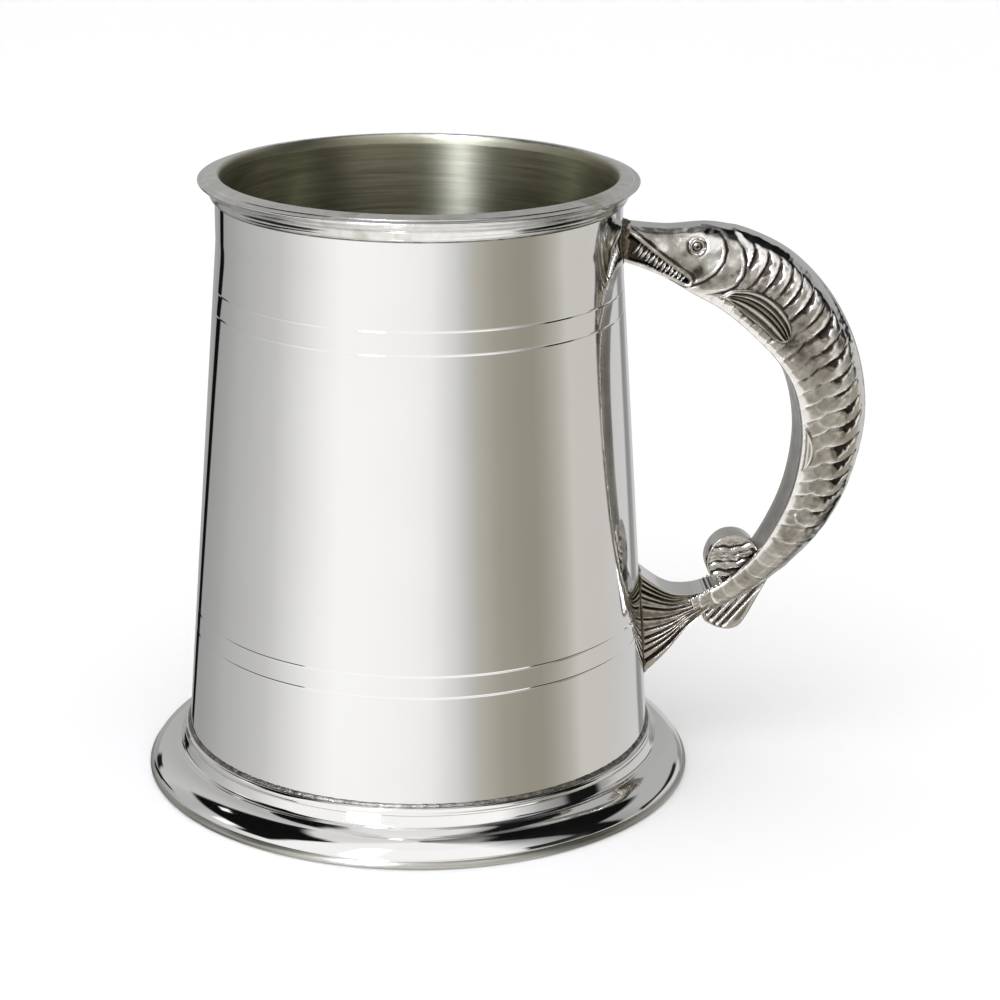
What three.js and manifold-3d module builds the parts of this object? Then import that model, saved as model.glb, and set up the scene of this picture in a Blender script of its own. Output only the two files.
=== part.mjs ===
// One-pint pewter tankard with a handle cast as a leaping pike. Millimetres, +Z up.
//
// Every piece is drawn in the barrel's own frame: the barrel's axis is the Z axis, the table is z = 0
// and the handle reaches out along +X. The last lines shift the whole tankard along X so that the
// origin is the centre of its footprint.
import * as THREE from "three";
import { mergeVertices } from "three/addons/utils/BufferGeometryUtils.js";
import Module from "manifold-3d";

const wasm = await Module();
wasm.setup();

// ---------------------------------------------------------------- driving dimensions

const GAP = 0.3; // clearance between pieces that are soldered together
const SEGMENTS = 72; // facets round every turned piece
const WALL = 1.3; // gauge of the pewter sheet

// Barrel: a straight taper that flares very slightly below the rim.
const AXIS_RADIUS = 46.45; // radius that the taper would have on the table
const TAPER = 0.0727; // radius lost per millimetre of height
const BARREL_BOTTOM = 9.3;
const BARREL_TOP = 117.6;
const TAPER_TOP = 107; // height where the straight taper ends
const NECK_RADIUS = 38.7; // radius from the taper's end up to the rim
const LINE_HEIGHTS = [30.1, 34.2, 94.2, 98.5]; // two pairs of turned lines
const LINE_WIDTH = 0.5;
const LINE_DEPTH = 0.18;

// Rim: a flared collar slipped over the barrel's top edge, with a rounded lip.
const RIM_BOTTOM = 114.9;
const RIM_TOP = 119.6;
const RIM_RADIUS = 41.9;

// Foot: a hollow ogee flange with a thick resting edge and a ledge that carries the barrel.
const FOOT_RADIUS = 54;
const FOOT_EDGE = 1.5; // height of the plain rounded edge
const FOOT_TOP = 9;
const LEDGE_RADIUS = 41; // hole in the ledge
const LEDGE_THICKNESS = 1.4;
const RESTING_WIDTH = 2.4; // width of the flat ring that touches the table

// Floor: a flat disc let into the bottom of the barrel.
const FLOOR_RADIUS = 43.9;
const FLOOR_THICKNESS = 1.5;

// Handle: the pike lies in the XZ plane. Its belly is the inside of the grip.
const FIN_THICKNESS = 5.6;
const TAIL_THICKNESS = 7.4;
const RELIEF_WIDTH = 14.2; // across the two pectoral fins
const MOUTH_DEPTH = 1.4; // how far the mouth is let into each cheek
const SOLDER_THICKNESS = 0.8;

// ---------------------------------------------------------------- materials

const polishedPewter = { color: 0xcfcdc8, roughness: 0.12, metalness: 1 };
const antiquedPewter = { color: 0x9a9488, roughness: 0.38, metalness: 1 };
const solder = { color: 0x7d7264, roughness: 0.5, metalness: 1 };

// ---------------------------------------------------------------- helpers

/** Radius of the barrel's outside at height z. */
function barrelRadius(z) {
  return z < TAPER_TOP ? AXIS_RADIUS - TAPER * z : NECK_RADIUS;
}

/** A closed ring or disc turned round the Z axis from [radius, height] points. */
function turned(points) {
  const profile = points.map(([radius, height]) => new THREE.Vector2(radius, height));
  return new THREE.LatheGeometry(profile, SEGMENTS).rotateX(Math.PI / 2);
}

/** The same profile with its first point repeated, so that it closes on itself. */
function ring(points) {
  return turned([...points, points[0]]);
}

/** A flat outline in the XZ plane, given thickness along Y and centred on that plane. */
function plate(shape, thickness) {
  const extruded = new THREE.ExtrudeGeometry(shape, {
    depth: thickness,
    bevelEnabled: false,
    curveSegments: 5,
  });
  return extruded.translate(0, 0, -thickness / 2).rotateX(Math.PI / 2);
}

function solidOf(geometry) {
  const bare = geometry.clone();
  bare.deleteAttribute("normal");
  bare.deleteAttribute("uv");
  const merged = mergeVertices(bare, 1e-3);
  return new wasm.Manifold(
    new wasm.Mesh({
      numProp: 3,
      vertProperties: merged.attributes.position.array,
      triVerts: new Uint32Array(merged.index.array),
    }),
  );
}

function geometryOf(solid) {
  const mesh = solid.getMesh();
  const geometry = new THREE.BufferGeometry();
  geometry.setAttribute("position", new THREE.BufferAttribute(mesh.vertProperties, 3));
  geometry.setIndex(new THREE.BufferAttribute(mesh.triVerts, 1));
  geometry.computeVertexNormals();
  return geometry;
}

function piece(name, geometry, look) {
  const mesh = new THREE.Mesh(geometry, new THREE.MeshStandardMaterial(look));
  mesh.name = name;
  return mesh;
}

/** Points of a smooth curve through hand-set [x, z] points, evenly spaced along it. */
function smooth(points, count) {
  const curve = new THREE.SplineCurve(points.map(([x, z]) => new THREE.Vector2(x, z)));
  return curve.getSpacedPoints(count);
}

/** A shape whose outline runs smoothly through the points and then straight back to the first. */
function smoothShape(points) {
  const [first, ...rest] = points.map(([x, z]) => new THREE.Vector2(x, z));
  return new THREE.Shape().moveTo(first.x, first.y).splineThru(rest);
}

// ---------------------------------------------------------------- turned pieces

function barrel() {
  const line = (z) => [
    [barrelRadius(z - LINE_WIDTH / 2), z - LINE_WIDTH / 2],
    [barrelRadius(z) - LINE_DEPTH, z],
    [barrelRadius(z + LINE_WIDTH / 2), z + LINE_WIDTH / 2],
  ];
  const outside = [
    [barrelRadius(BARREL_BOTTOM), BARREL_BOTTOM],
    ...LINE_HEIGHTS.flatMap(line),
    [barrelRadius(TAPER_TOP), TAPER_TOP],
    [NECK_RADIUS, BARREL_TOP],
  ];
  const inside = [
    [NECK_RADIUS - WALL, BARREL_TOP],
    [barrelRadius(TAPER_TOP) - WALL, TAPER_TOP],
    [barrelRadius(BARREL_BOTTOM) - WALL, BARREL_BOTTOM],
  ];
  return ring([...outside, ...inside]);
}

function rim() {
  const bore = NECK_RADIUS + GAP;
  const coveredEdge = BARREL_TOP + GAP;
  const underside = [
    [bore, RIM_BOTTOM],
    [bore + 0.35, RIM_BOTTOM],
    [40, 115.7],
    [40.8, 116.5],
  ];
  const lip = [
    [41.5, 117.3],
    [RIM_RADIUS, 118.1],
    [41.6, 118.6],
    [40.6, 119],
    [39.4, 119.3],
    [38.4, RIM_TOP - 0.1],
    [37.8, RIM_TOP],
    [37.4, 119.4],
    [37.2, 118.9],
    [NECK_RADIUS - WALL, coveredEdge],
  ];
  return ring([...underside, ...lip, [bore, coveredEdge]]);
}

function rimSolder() {
  const inner = NECK_RADIUS + GAP;
  const top = RIM_BOTTOM - GAP;
  return ring([
    [inner, top - 0.5],
    [inner + 0.4, top],
    [inner, top],
  ]);
}

function foot() {
  const ledgeUnderside = FOOT_TOP - LEDGE_THICKNESS;
  const outside = [
    [FOOT_RADIUS - RESTING_WIDTH, 0],
    [FOOT_RADIUS - 0.3, 0],
    [FOOT_RADIUS, 0.5],
    [FOOT_RADIUS - 0.1, FOOT_EDGE - 0.4],
    [FOOT_RADIUS - 0.5, FOOT_EDGE],
    [52.8, 2.7],
    [51.6, 3.9],
    [50.2, 4.9],
    [48.9, 5.8],
    [47.7, 6.8],
    [46.9, 7.7],
    [46.5, 8.4],
    [46.3, FOOT_TOP],
  ];
  const inside = [
    [LEDGE_RADIUS, FOOT_TOP],
    [LEDGE_RADIUS, ledgeUnderside],
    [44.6, ledgeUnderside],
    [46.4, 5.8],
    [49.4, 3.6],
    [50.9, 2.2],
  ];
  return ring([...outside, ...inside]);
}

function footSolder() {
  const bottom = FOOT_TOP + GAP;
  const inner = barrelRadius(bottom) + GAP;
  return ring([
    [inner, bottom],
    [inner + 0.6, bottom],
    [inner, bottom + 0.8],
  ]);
}

function floorDisc() {
  const bottom = FOOT_TOP + GAP;
  const top = bottom + FLOOR_THICKNESS;
  return turned([
    [0, bottom],
    [FLOOR_RADIUS, bottom],
    [FLOOR_RADIUS, top],
    [0, top],
  ]);
}

function floorSolder() {
  const bottom = FOOT_TOP + GAP + FLOOR_THICKNESS + GAP;
  const outer = barrelRadius(bottom + 1) - WALL - GAP;
  return ring([
    [outer - 1.2, bottom],
    [outer, bottom],
    [outer, bottom + 1],
  ]);
}

// ---------------------------------------------------------------- handle

// Outlines of the fish from the snout to the root of the tail.
const BACK = [
  [37, 110.3],
  [47, 109.3],
  [56, 109.7],
  [64, 107.8],
  [72.5, 103.2],
  [80.3, 94.8],
  [85.6, 84.1],
  [87.7, 71.9],
  [85.9, 60],
  [81.3, 49.3],
  [74, 40.8],
  [64, 33.1],
  [55.5, 29.6],
];
const BELLY = [
  [37, 103.6],
  [45, 100.7],
  [52, 96.8],
  [57.9, 93.5],
  [63.5, 89],
  [69.2, 83.1],
  [72.8, 76.9],
  [74.5, 68],
  [73.7, 59],
  [71.1, 50.9],
  [66.3, 42.6],
  [60, 36.8],
  [54, 33.6],
];
// Half-width of the fish, evenly spaced from the snout to the root of the tail.
const HALF_WIDTHS = [4.4, 5.6, 6.5, 6.9, 7, 6.9, 6.3, 5.4, 4.4, 3.7, 3.5];
// One side of a cross-section: how far from belly to back, and the share of the half-width there.
const SECTION = [
  [0, 0.82],
  [0.08, 0.95],
  [0.3, 1],
  [0.6, 0.95],
  [0.82, 0.7],
  [0.95, 0.35],
  [1, 0],
];
const STATIONS = 30;

/** The fish's body: cross-sections lofted between the belly line and the back line. */
function fishBody() {
  const back = smooth(BACK, STATIONS);
  const belly = smooth(BELLY, STATIONS);
  const widths = smooth(
    HALF_WIDTHS.map((width, i) => [i / (HALF_WIDTHS.length - 1), width]),
    STATIONS,
  );
  const halfOf = (side, share, width) => [share, side * width];
  const outline = [
    ...SECTION.map(([share, width]) => halfOf(1, share, width)),
    ...SECTION.slice(0, -1).reverse().map(([share, width]) => halfOf(-1, share, width)),
  ];
  const positions = [];
  for (let station = 0; station <= STATIONS; station += 1) {
    for (const [share, side] of outline) {
      const point = belly[station].clone().lerp(back[station], share);
      positions.push(point.x, side * widths[station].y, point.y);
    }
  }
  const sides = outline.length;
  const faces = [];
  for (let station = 0; station < STATIONS; station += 1) {
    for (let side = 0; side < sides; side += 1) {
      const next = (side + 1) % sides;
      const near = station * sides;
      const far = near + sides;
      faces.push(near + side, near + next, far + side);
      faces.push(near + next, far + next, far + side);
    }
  }
  const last = STATIONS * sides;
  for (let side = 1; side < sides - 1; side += 1) {
    faces.push(0, side + 1, side);
    faces.push(last, last + side, last + side + 1);
  }
  const geometry = new THREE.BufferGeometry();
  geometry.setAttribute("position", new THREE.Float32BufferAttribute(positions, 3));
  geometry.setIndex(faces);
  return geometry;
}

/** The fan of the tail, with a hollowed top edge. Its straight end runs into the barrel. */
function tailFin() {
  const shape = new THREE.Shape();
  shape.moveTo(57, 35.5);
  shape.quadraticCurveTo(48.5, 34.6, 44.2, 39.6);
  shape.lineTo(42, 39.6);
  shape.lineTo(42, 17.8);
  shape.lineTo(45.5, 17.8);
  shape.lineTo(57, 30.5);
  return plate(shape, TAIL_THICKNESS);
}

/** The round fin that stands up inside the loop of the handle. */
function innerFin() {
  const shape = new THREE.Shape();
  shape.absarc(62.4, 41.6, 5.2, 0, 2 * Math.PI);
  return plate(shape, FIN_THICKNESS);
}

/** The fin that hangs below the root of the tail. */
function outerFin() {
  const outline = [
    [70, 39.5],
    [67.8, 34.3],
    [65.2, 29.3],
    [62.2, 26.9],
    [58.5, 27.7],
    [56.4, 30],
    [58, 33],
  ];
  return plate(smoothShape(outline), FIN_THICKNESS);
}

/** The leaf-shaped fins folded back against both flanks behind the gills. */
function pectoralFins() {
  const outline = [
    [57.8, 96.2],
    [63.1, 97.4],
    [68.6, 94.7],
    [71.3, 90],
    [70, 87.4],
    [65.6, 89.9],
    [57.8, 96.2],
  ];
  return plate(smoothShape(outline), RELIEF_WIDTH);
}

/** The recess of the half-open mouth, cut into one cheek. */
function mouth(side) {
  const corner = new THREE.Shape();
  corner.moveTo(36, 109.4);
  corner.lineTo(39.5, 108.6);
  corner.lineTo(51.4, 99.6);
  corner.lineTo(50.6, 98.9);
  corner.lineTo(39.5, 103.6);
  corner.lineTo(36, 104.6);
  const cheek = HALF_WIDTHS[1] - MOUTH_DEPTH;
  const depth = 6;
  return plate(corner, depth).translate(0, side * (cheek + depth / 2), 0);
}

/** The barrel's outside moved outwards by an offset, as a plain cone for cutting. */
function barrelCone(offset) {
  return turned([
    [0, 0],
    [barrelRadius(0) + offset, 0],
    [barrelRadius(TAPER_TOP) + offset, TAPER_TOP],
    [NECK_RADIUS + offset, BARREL_TOP],
    [0, BARREL_TOP],
  ]);
}

function fish() {
  let solid = solidOf(fishBody());
  for (const part of [tailFin(), innerFin(), outerFin(), pectoralFins()]) {
    solid = solid.add(solidOf(part));
  }
  for (const side of [-1, 1]) {
    solid = solid.subtract(solidOf(mouth(side)));
  }
  return solid.subtract(solidOf(barrelCone(GAP)));
}

/** A flat frame of solder round an attachment: the outline grown by a fillet, less the clearance. */
function solderFrame(low, high, halfWidth, handleSolid) {
  const frame = (margin) => {
    const shape = new THREE.Shape();
    shape.moveTo(30, low - margin);
    shape.lineTo(50, low - margin);
    shape.lineTo(50, high + margin);
    shape.lineTo(30, high + margin);
    return solidOf(plate(shape, 2 * (halfWidth + margin)));
  };
  const shell = solidOf(barrelCone(GAP + SOLDER_THICKNESS)).subtract(solidOf(barrelCone(GAP)));
  return frame(GAP + SOLDER_THICKNESS).subtract(frame(GAP)).intersect(shell).subtract(handleSolid);
}

// ---------------------------------------------------------------- assembly

const handle = fish();
const tankard = new THREE.Group();
tankard.name = "tankard";
tankard.add(
  piece("barrel", barrel(), polishedPewter),
  piece("rim", rim(), polishedPewter),
  piece("rim_solder", rimSolder(), solder),
  piece("foot", foot(), polishedPewter),
  piece("foot_solder", footSolder(), solder),
  piece("floor_disc", floorDisc(), polishedPewter),
  piece("floor_solder", floorSolder(), solder),
  piece("pike_handle", geometryOf(handle), antiquedPewter),
  piece("snout_solder", geometryOf(solderFrame(102.6, 110.6, 4.6, handle)), solder),
  piece("tail_solder", geometryOf(solderFrame(18, 39.6, TAIL_THICKNESS / 2, handle)), solder),
);

const bounds = new THREE.Box3().setFromObject(tankard);
tankard.position.x = -(bounds.min.x + bounds.max.x) / 2;

const part = new THREE.Group();
part.add(tankard);

export default part;
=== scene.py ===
"""A one-pint pewter tankard whose handle is a cast pike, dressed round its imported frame.

Every piece is worked out in millimetres in the barrel's own frame: the barrel's axis is Z, the table
is z = 0 and the handle reaches out along +X. place() moves it to the frame's axis, in metres.
"""
import math

import bmesh
import bpy
import numpy as np
from mathutils import Matrix, Vector
from mathutils.bvhtree import BVHTree
from mathutils.kdtree import KDTree


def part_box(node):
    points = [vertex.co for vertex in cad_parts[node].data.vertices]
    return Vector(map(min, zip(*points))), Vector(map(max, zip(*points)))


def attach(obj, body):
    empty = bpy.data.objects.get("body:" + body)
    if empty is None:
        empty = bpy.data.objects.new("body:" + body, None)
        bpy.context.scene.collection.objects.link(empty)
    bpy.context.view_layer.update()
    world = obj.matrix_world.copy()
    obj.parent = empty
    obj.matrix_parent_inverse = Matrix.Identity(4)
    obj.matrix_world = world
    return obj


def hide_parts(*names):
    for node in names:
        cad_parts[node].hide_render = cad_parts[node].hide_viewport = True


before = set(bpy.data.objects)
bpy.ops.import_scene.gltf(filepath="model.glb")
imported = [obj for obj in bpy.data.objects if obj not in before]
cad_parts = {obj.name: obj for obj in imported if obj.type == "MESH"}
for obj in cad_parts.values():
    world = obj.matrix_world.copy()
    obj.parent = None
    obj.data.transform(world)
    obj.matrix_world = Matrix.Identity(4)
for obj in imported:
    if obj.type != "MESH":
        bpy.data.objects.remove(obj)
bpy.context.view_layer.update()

MM = 0.001
BARREL_LOW, BARREL_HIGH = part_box("barrel")
AXIS_X = (BARREL_LOW.x + BARREL_HIGH.x) / 2

# ---- dimensions, as in the frame

AXIS_RADIUS = 46.45  # radius that the barrel's taper would have on the table
TAPER = 0.0727  # radius lost per millimetre of height
BARREL_BOTTOM = 9.3
BARREL_TOP = 117.6
TAPER_TOP = 107.0
NECK_RADIUS = 38.7
WALL = 1.3
BORE = NECK_RADIUS - WALL  # the mouth's radius inside the rim
LINE_HEIGHTS = (30.1, 34.2, 94.2, 98.5)
LINE_WIDTH = 0.36
LINE_DEPTH = 0.06
FLOOR_RADIUS = 43.9
FLOOR_BOTTOM = 9.3
FLOOR_TOP = 10.8
TURNED_SEGMENTS = 320
FLOOR_SEGMENTS = 192
SEAM_SEGMENTS = 1400  # enough for the grains of a thin line of solder
FILLET_SEGMENTS = 360
TURNED_CREASE = math.radians(40)  # edges that turn further than this stay sharp
CAST_CREASE = math.radians(48)
# Inside this band the rim also carries the bore's painted shade.
DULL_SHADED_BORE = (0.0376, 0.0384)  # metres from the axis between which the rim's inside turns polished

TAIL_THICKNESS = 7.4
FIN_THICKNESS = 5.6

# Outlines of the fish from the snout to the root of the tail, as [out from the axis, height].
BACK = [
    [37, 110.3], [47, 109.3], [56, 109.7], [64, 107.8], [72.5, 103.2], [80.3, 94.8], [85.6, 84.1],
    [87.7, 71.9], [85.9, 60], [81.3, 49.3], [74, 40.8], [64, 33.1], [55.5, 29.6],
]
BELLY = [
    [37, 103.6], [45, 100.7], [52, 96.8], [57.9, 93.5], [63.5, 89], [69.2, 83.1], [72.8, 76.9],
    [74.5, 68], [73.7, 59], [71.1, 50.9], [66.3, 42.6], [60, 36.8], [54, 33.6],
]
HALF_WIDTHS = [4.4, 5.6, 6.5, 6.9, 7, 6.9, 6.3, 5.4, 4.4, 3.7, 3.5]
# One side of a cross-section: how far from belly to back, and the share of the half-width there.
FLANK = [
    [0, 0.95], [0.025, 0.99], [0.25, 1.01], [0.55, 0.96], [0.8, 0.76], [0.92, 0.48], [0.985, 0.2], [1, 0],
]
FLANK_SIZE = (14, 6.4)  # a usual height and half-width, by which the section's points are spaced

# ---- camera

HANDLE_TURN = math.radians(2.5)  # how far the handle is turned away from the camera
CAMERA_DISTANCE = 509.88
CAMERA_HEIGHT = 223.29
CAMERA_PITCH = math.radians(18.351)
CAMERA_YAW = math.radians(1.790)
CAMERA_ROLL = math.radians(0.623)
CAMERA_LENS = 98.264
CAMERA_FILM = 36
CAMERA_REACH = (0.01, 50)


def make_camera():
    """The camera of the front view, which looks down past the rim into the cup."""
    turn = Matrix.Rotation(-HANDLE_TURN, 3, "Z")
    ahead = Vector((
        math.sin(CAMERA_YAW) * math.cos(CAMERA_PITCH),
        math.cos(CAMERA_YAW) * math.cos(CAMERA_PITCH),
        -math.sin(CAMERA_PITCH),
    ))
    level_right = Vector((math.cos(CAMERA_YAW), -math.sin(CAMERA_YAW), 0))
    level_up = level_right.cross(ahead)
    right = math.cos(CAMERA_ROLL) * level_right + math.sin(CAMERA_ROLL) * level_up
    up = right.cross(ahead)
    axes = Matrix((right, up, -ahead)).transposed()
    place_at = turn @ Vector((0, -CAMERA_DISTANCE, CAMERA_HEIGHT)) * MM
    data = bpy.data.cameras.new("front_camera")
    data.sensor_width = CAMERA_FILM
    data.lens = CAMERA_LENS
    data.clip_start, data.clip_end = CAMERA_REACH
    camera = bpy.data.objects.new("front_camera", data)
    camera.matrix_world = Matrix.Translation(place_at + Vector((AXIS_X, 0, 0))) @ (turn @ axes).to_4x4()
    bpy.context.scene.collection.objects.link(camera)
    bpy.context.scene.camera = camera


# ---- mesh helpers


def spline(points, samples):
    """The smooth curve through all points but the first and last, which only steer its ends."""
    share = np.linspace(0, 1, samples, endpoint=False)[:, None]
    pieces = [
        0.5 * (
            2 * p1 + (p2 - p0) * share + (2 * p0 - 5 * p1 + 4 * p2 - p3) * share**2
            + (3 * p1 - p0 - 3 * p2 + p3) * share**3
        )
        for p0, p1, p2, p3 in zip(points, points[1:], points[2:], points[3:])
    ]
    return np.vstack(pieces)


def smooth_curve(points, count):
    """count + 1 points evenly spaced along the smooth curve through given points."""
    points = np.array(points, float)
    line = spline(np.vstack([points[:1], points, points[-1:]]), 40)
    return even(np.vstack([line, points[-1:]]), count)


def smooth_loop(outline, count):
    """count points evenly spaced round the smooth closed curve through the outline's points."""
    outline = np.array(outline, float)
    line = spline(np.vstack([outline[-1:], outline, outline[:2]]), 30)
    return even(np.vstack([line, line[:1]]), count)[:-1]


def sheet(low, high, columns):
    """A grid of places between two lines, how far up between them each column is, and their span."""
    up = np.linspace(0, 1, columns)[None, :]
    flat = low[:, None, :] * (1 - up[..., None]) + high[:, None, :] * up[..., None]
    return flat[..., 0], flat[..., 1], up, np.linalg.norm(high - low, axis=1)[:, None]


def even(line, count):
    """The same line resampled to count + 1 points that are evenly spaced."""
    steps = np.linalg.norm(np.diff(line, axis=0), axis=1)
    along = np.concatenate([[0], np.cumsum(steps)])
    wanted = np.linspace(0, along[-1], count + 1)
    return np.stack([np.interp(wanted, along, line[:, k]) for k in range(line.shape[1])], axis=1)


def smoothstep(low, high, value):
    share = np.clip((value - low) / (high - low), 0, 1)
    return share * share * (3 - 2 * share)


def band_faces(rings, around, start=0, closed=False):
    """The quads between rings of points, each joined to the next, and the last to the first if closed."""
    faces = []
    for i in range(rings if closed else rings - 1):
        near, far = start + i * around, start + (i + 1) % rings * around
        for j in range(around):
            k = (j + 1) % around
            faces.append((near + j, near + k, far + k, far + j))
    return faces


def capped_faces(rings, around):
    """The faces of a closed body whose first and last points are its tips, with rings between them."""
    last = 1 + rings * around
    faces = [(0, 1 + (j + 1) % around, 1 + j) for j in range(around)]
    faces += band_faces(rings, around, start=1)
    return faces + [(last, last - around + j, last - around + (j + 1) % around) for j in range(around)]


def make_object(name, points, faces, materials, face_materials=None):
    """A closed mesh from points in millimetres, with its faces turned outwards."""
    mesh = bpy.data.meshes.new(name)
    mesh.from_pydata(np.asarray(points).tolist(), [], faces)
    if face_materials is not None:
        mesh.polygons.foreach_set("material_index", np.asarray(face_materials, np.int32))
    work = bmesh.new()
    work.from_mesh(mesh)
    bmesh.ops.remove_doubles(work, verts=work.verts, dist=1e-5)
    bmesh.ops.recalc_face_normals(work, faces=work.faces)
    work.to_mesh(mesh)
    work.free()
    for material in materials:
        mesh.materials.append(material)
    mesh.shade_smooth()
    mesh.set_sharp_from_angle(angle=TURNED_CREASE)
    made = bpy.data.objects.new(name, mesh)
    bpy.context.scene.collection.objects.link(made)
    return made


def place(made, slot, *nodes):
    """Moves a finished piece from its own millimetres to the frame, hangs it from the root and hides the
    frame's parts that it stands for.
    """
    made.data.transform(Matrix.Translation((AXIS_X, 0, 0)) @ Matrix.Scale(MM, 4))
    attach(made, "root")
    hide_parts(*nodes)
    return made


def lathe(name, profile, materials, face_material=None, shift=None, segments=TURNED_SEGMENTS):
    """A ring turned round the axis from a closed profile of [radius, height] points.

    shift(angle, radius, height) gives an uneven piece its bumps, as [radius, height] offsets.
    """
    profile = np.array(profile, float)
    angle = np.arange(segments)[:, None] * 2 * math.pi / segments
    radius = np.repeat(profile[None, :, 0], segments, axis=0)
    height = np.repeat(profile[None, :, 1], segments, axis=0)
    if shift is not None:
        outward, upward = shift(angle, radius, height)
        radius = radius + outward
        height = height + upward
    points = np.stack([radius * np.cos(angle), radius * np.sin(angle), height], axis=2).reshape(-1, 3)
    middles = (profile + np.roll(profile, -1, axis=0)) / 2
    kinds = [face_material(*middle) if face_material else 0 for middle in middles] * segments
    return make_object(name, points, band_faces(segments, len(profile), closed=True), materials, kinds)


def barrel_radius(z):
    return AXIS_RADIUS - TAPER * z if z < TAPER_TOP else NECK_RADIUS


# ---- materials


class Nodes:
    """Builds a node tree step by step."""

    def __init__(self, tree):
        self.tree = tree

    def node(self, kind, **settings):
        made = self.tree.nodes.new(kind)
        for key, value in settings.items():
            setattr(made, key, value)
        return made

    def link(self, source, target):
        self.tree.links.new(source, target)

    def feed(self, socket, value):
        """Gives a socket a number, a colour or another socket's output."""
        if isinstance(value, tuple):
            socket.default_value = (*value, 1)
        elif isinstance(value, (int, float)):
            socket.default_value = value
        else:
            self.link(value, socket)

    def split(self, vector):
        made = self.node("ShaderNodeSeparateXYZ")
        self.link(vector, made.inputs[0])
        return made.outputs

    def math(self, operation, *values):
        made = self.node("ShaderNodeMath", operation=operation)
        for socket, value in zip(made.inputs, values):
            self.feed(socket, value)
        return made.outputs[0]

    def plus(self, first, second):
        return self.math("ADD", first, second)

    def times(self, first, second):
        return self.math("MULTIPLY", first, second)

    def range(self, value, low, high, to_low, to_high, smooth=False):
        made = self.node("ShaderNodeMapRange")
        if smooth:
            made.interpolation_type = "SMOOTHSTEP"
        for index, number in enumerate((value, low, high, to_low, to_high)):
            self.feed(made.inputs[index], number)
        return made.outputs[0]

    def blend(self, share, first, second):
        """A mix of two colours, or of two sockets."""
        made = self.node("ShaderNodeMix", data_type="RGBA")
        for index, value in ((0, share), (6, first), (7, second)):
            self.feed(made.inputs[index], value)
        return made.outputs[2]


class Look(Nodes):
    """Builds one material round the Principled shader."""

    def __init__(self, name, **constants):
        self.material = bpy.data.materials.new(name)
        self.material.use_nodes = True
        super().__init__(self.material.node_tree)
        self.shader = self.tree.nodes["Principled BSDF"]
        for key, value in constants.items():
            self.shader.inputs[key.replace("_", " ")].default_value = value
        self.position = self.node("ShaderNodeTexCoord").outputs["Object"]

    def noise(self, scale, detail, roughness=0.5):
        """Noise over the object, stretched where the scale is three numbers."""
        made = self.node("ShaderNodeTexNoise")
        vector = self.position
        if isinstance(scale, tuple):
            stretch = self.node("ShaderNodeMapping")
            stretch.inputs["Scale"].default_value = scale
            self.link(vector, stretch.inputs["Vector"])
            vector = stretch.outputs[0]
            scale = 1
        settings = {"Vector": vector, "Scale": scale, "Detail": detail, "Roughness": roughness}
        for key, value in settings.items():
            self.feed(made.inputs[key], value)
        return made.outputs[0]

    def spread(self, noise, low=0, high=1):
        """The usual range of a noise spread from low to high."""
        return self.range(noise, 0.3, 0.7, low, high)

    def bump(self, height, distance, strength=1.0, normal=None):
        made = self.node("ShaderNodeBump")
        made.inputs["Distance"].default_value = distance
        made.inputs["Strength"].default_value = strength
        self.link(height, made.inputs["Height"])
        if normal is not None:
            self.link(normal, made.inputs["Normal"])
        return made.outputs[0]

    def reach(self):
        """Distance from the barrel's axis, in metres."""
        x, y, _ = self.split(self.position)
        across = self.math("SUBTRACT", x, AXIS_X)
        return self.math("SQRT", self.plus(self.times(across, across), self.times(y, y)))

    def attribute(self, name):
        return self.node("ShaderNodeAttribute", attribute_name=name).outputs["Fac"]

    def wear(self, key, value):
        self.link(value, self.shader.inputs[key])


def polished_pewter():
    """Mirror-bright pewter with the faint rings of the polishing mop and a few hairline scratches."""
    look = Look("polished_pewter", Metallic=1.0)
    rings = look.noise((60, 60, 9000), 2)
    cloud = look.noise(45, 3)
    scratch = look.noise((2600, 2600, 160), 1)
    thin = look.range(scratch, 0.70, 0.76, 0, 1)
    look.wear("Base Color", look.blend(cloud, (0.80, 0.79, 0.775), (0.86, 0.855, 0.845)))
    look.wear("Roughness", look.plus(look.spread(cloud, 0.035, 0.06), look.times(thin, 0.03)))
    fine = look.bump(rings, 0.000004, 0.5)
    look.wear("Normal", look.bump(cloud, 0.00003, 0.35, fine))
    return look.material


def satin_pewter(name, dark, light):
    """Spun pewter left brushed, with turning marks that run round the axis."""
    look = Look(name, Metallic=1.0, Anisotropic=0.85, Anisotropic_Rotation=0.25)
    rings = look.noise((25, 25, 2600), 4, 0.6)
    cloud = look.noise(60, 4)
    streaks = look.noise((60, 60, 1500), 4, 0.65)
    brushed = look.blend(look.spread(streaks), dark, light)
    look.wear("Base Color", look.blend(look.range(cloud, 0.35, 0.75, 0, 0.4), brushed, dark))
    look.wear("Roughness", look.spread(rings, 0.30, 0.42))
    look.wear("Tangent", look.node("ShaderNodeTangent", direction_type="RADIAL", axis="Z").outputs[0])
    look.wear("Normal", look.bump(rings, 0.00002, 0.5))
    return look.material


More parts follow.
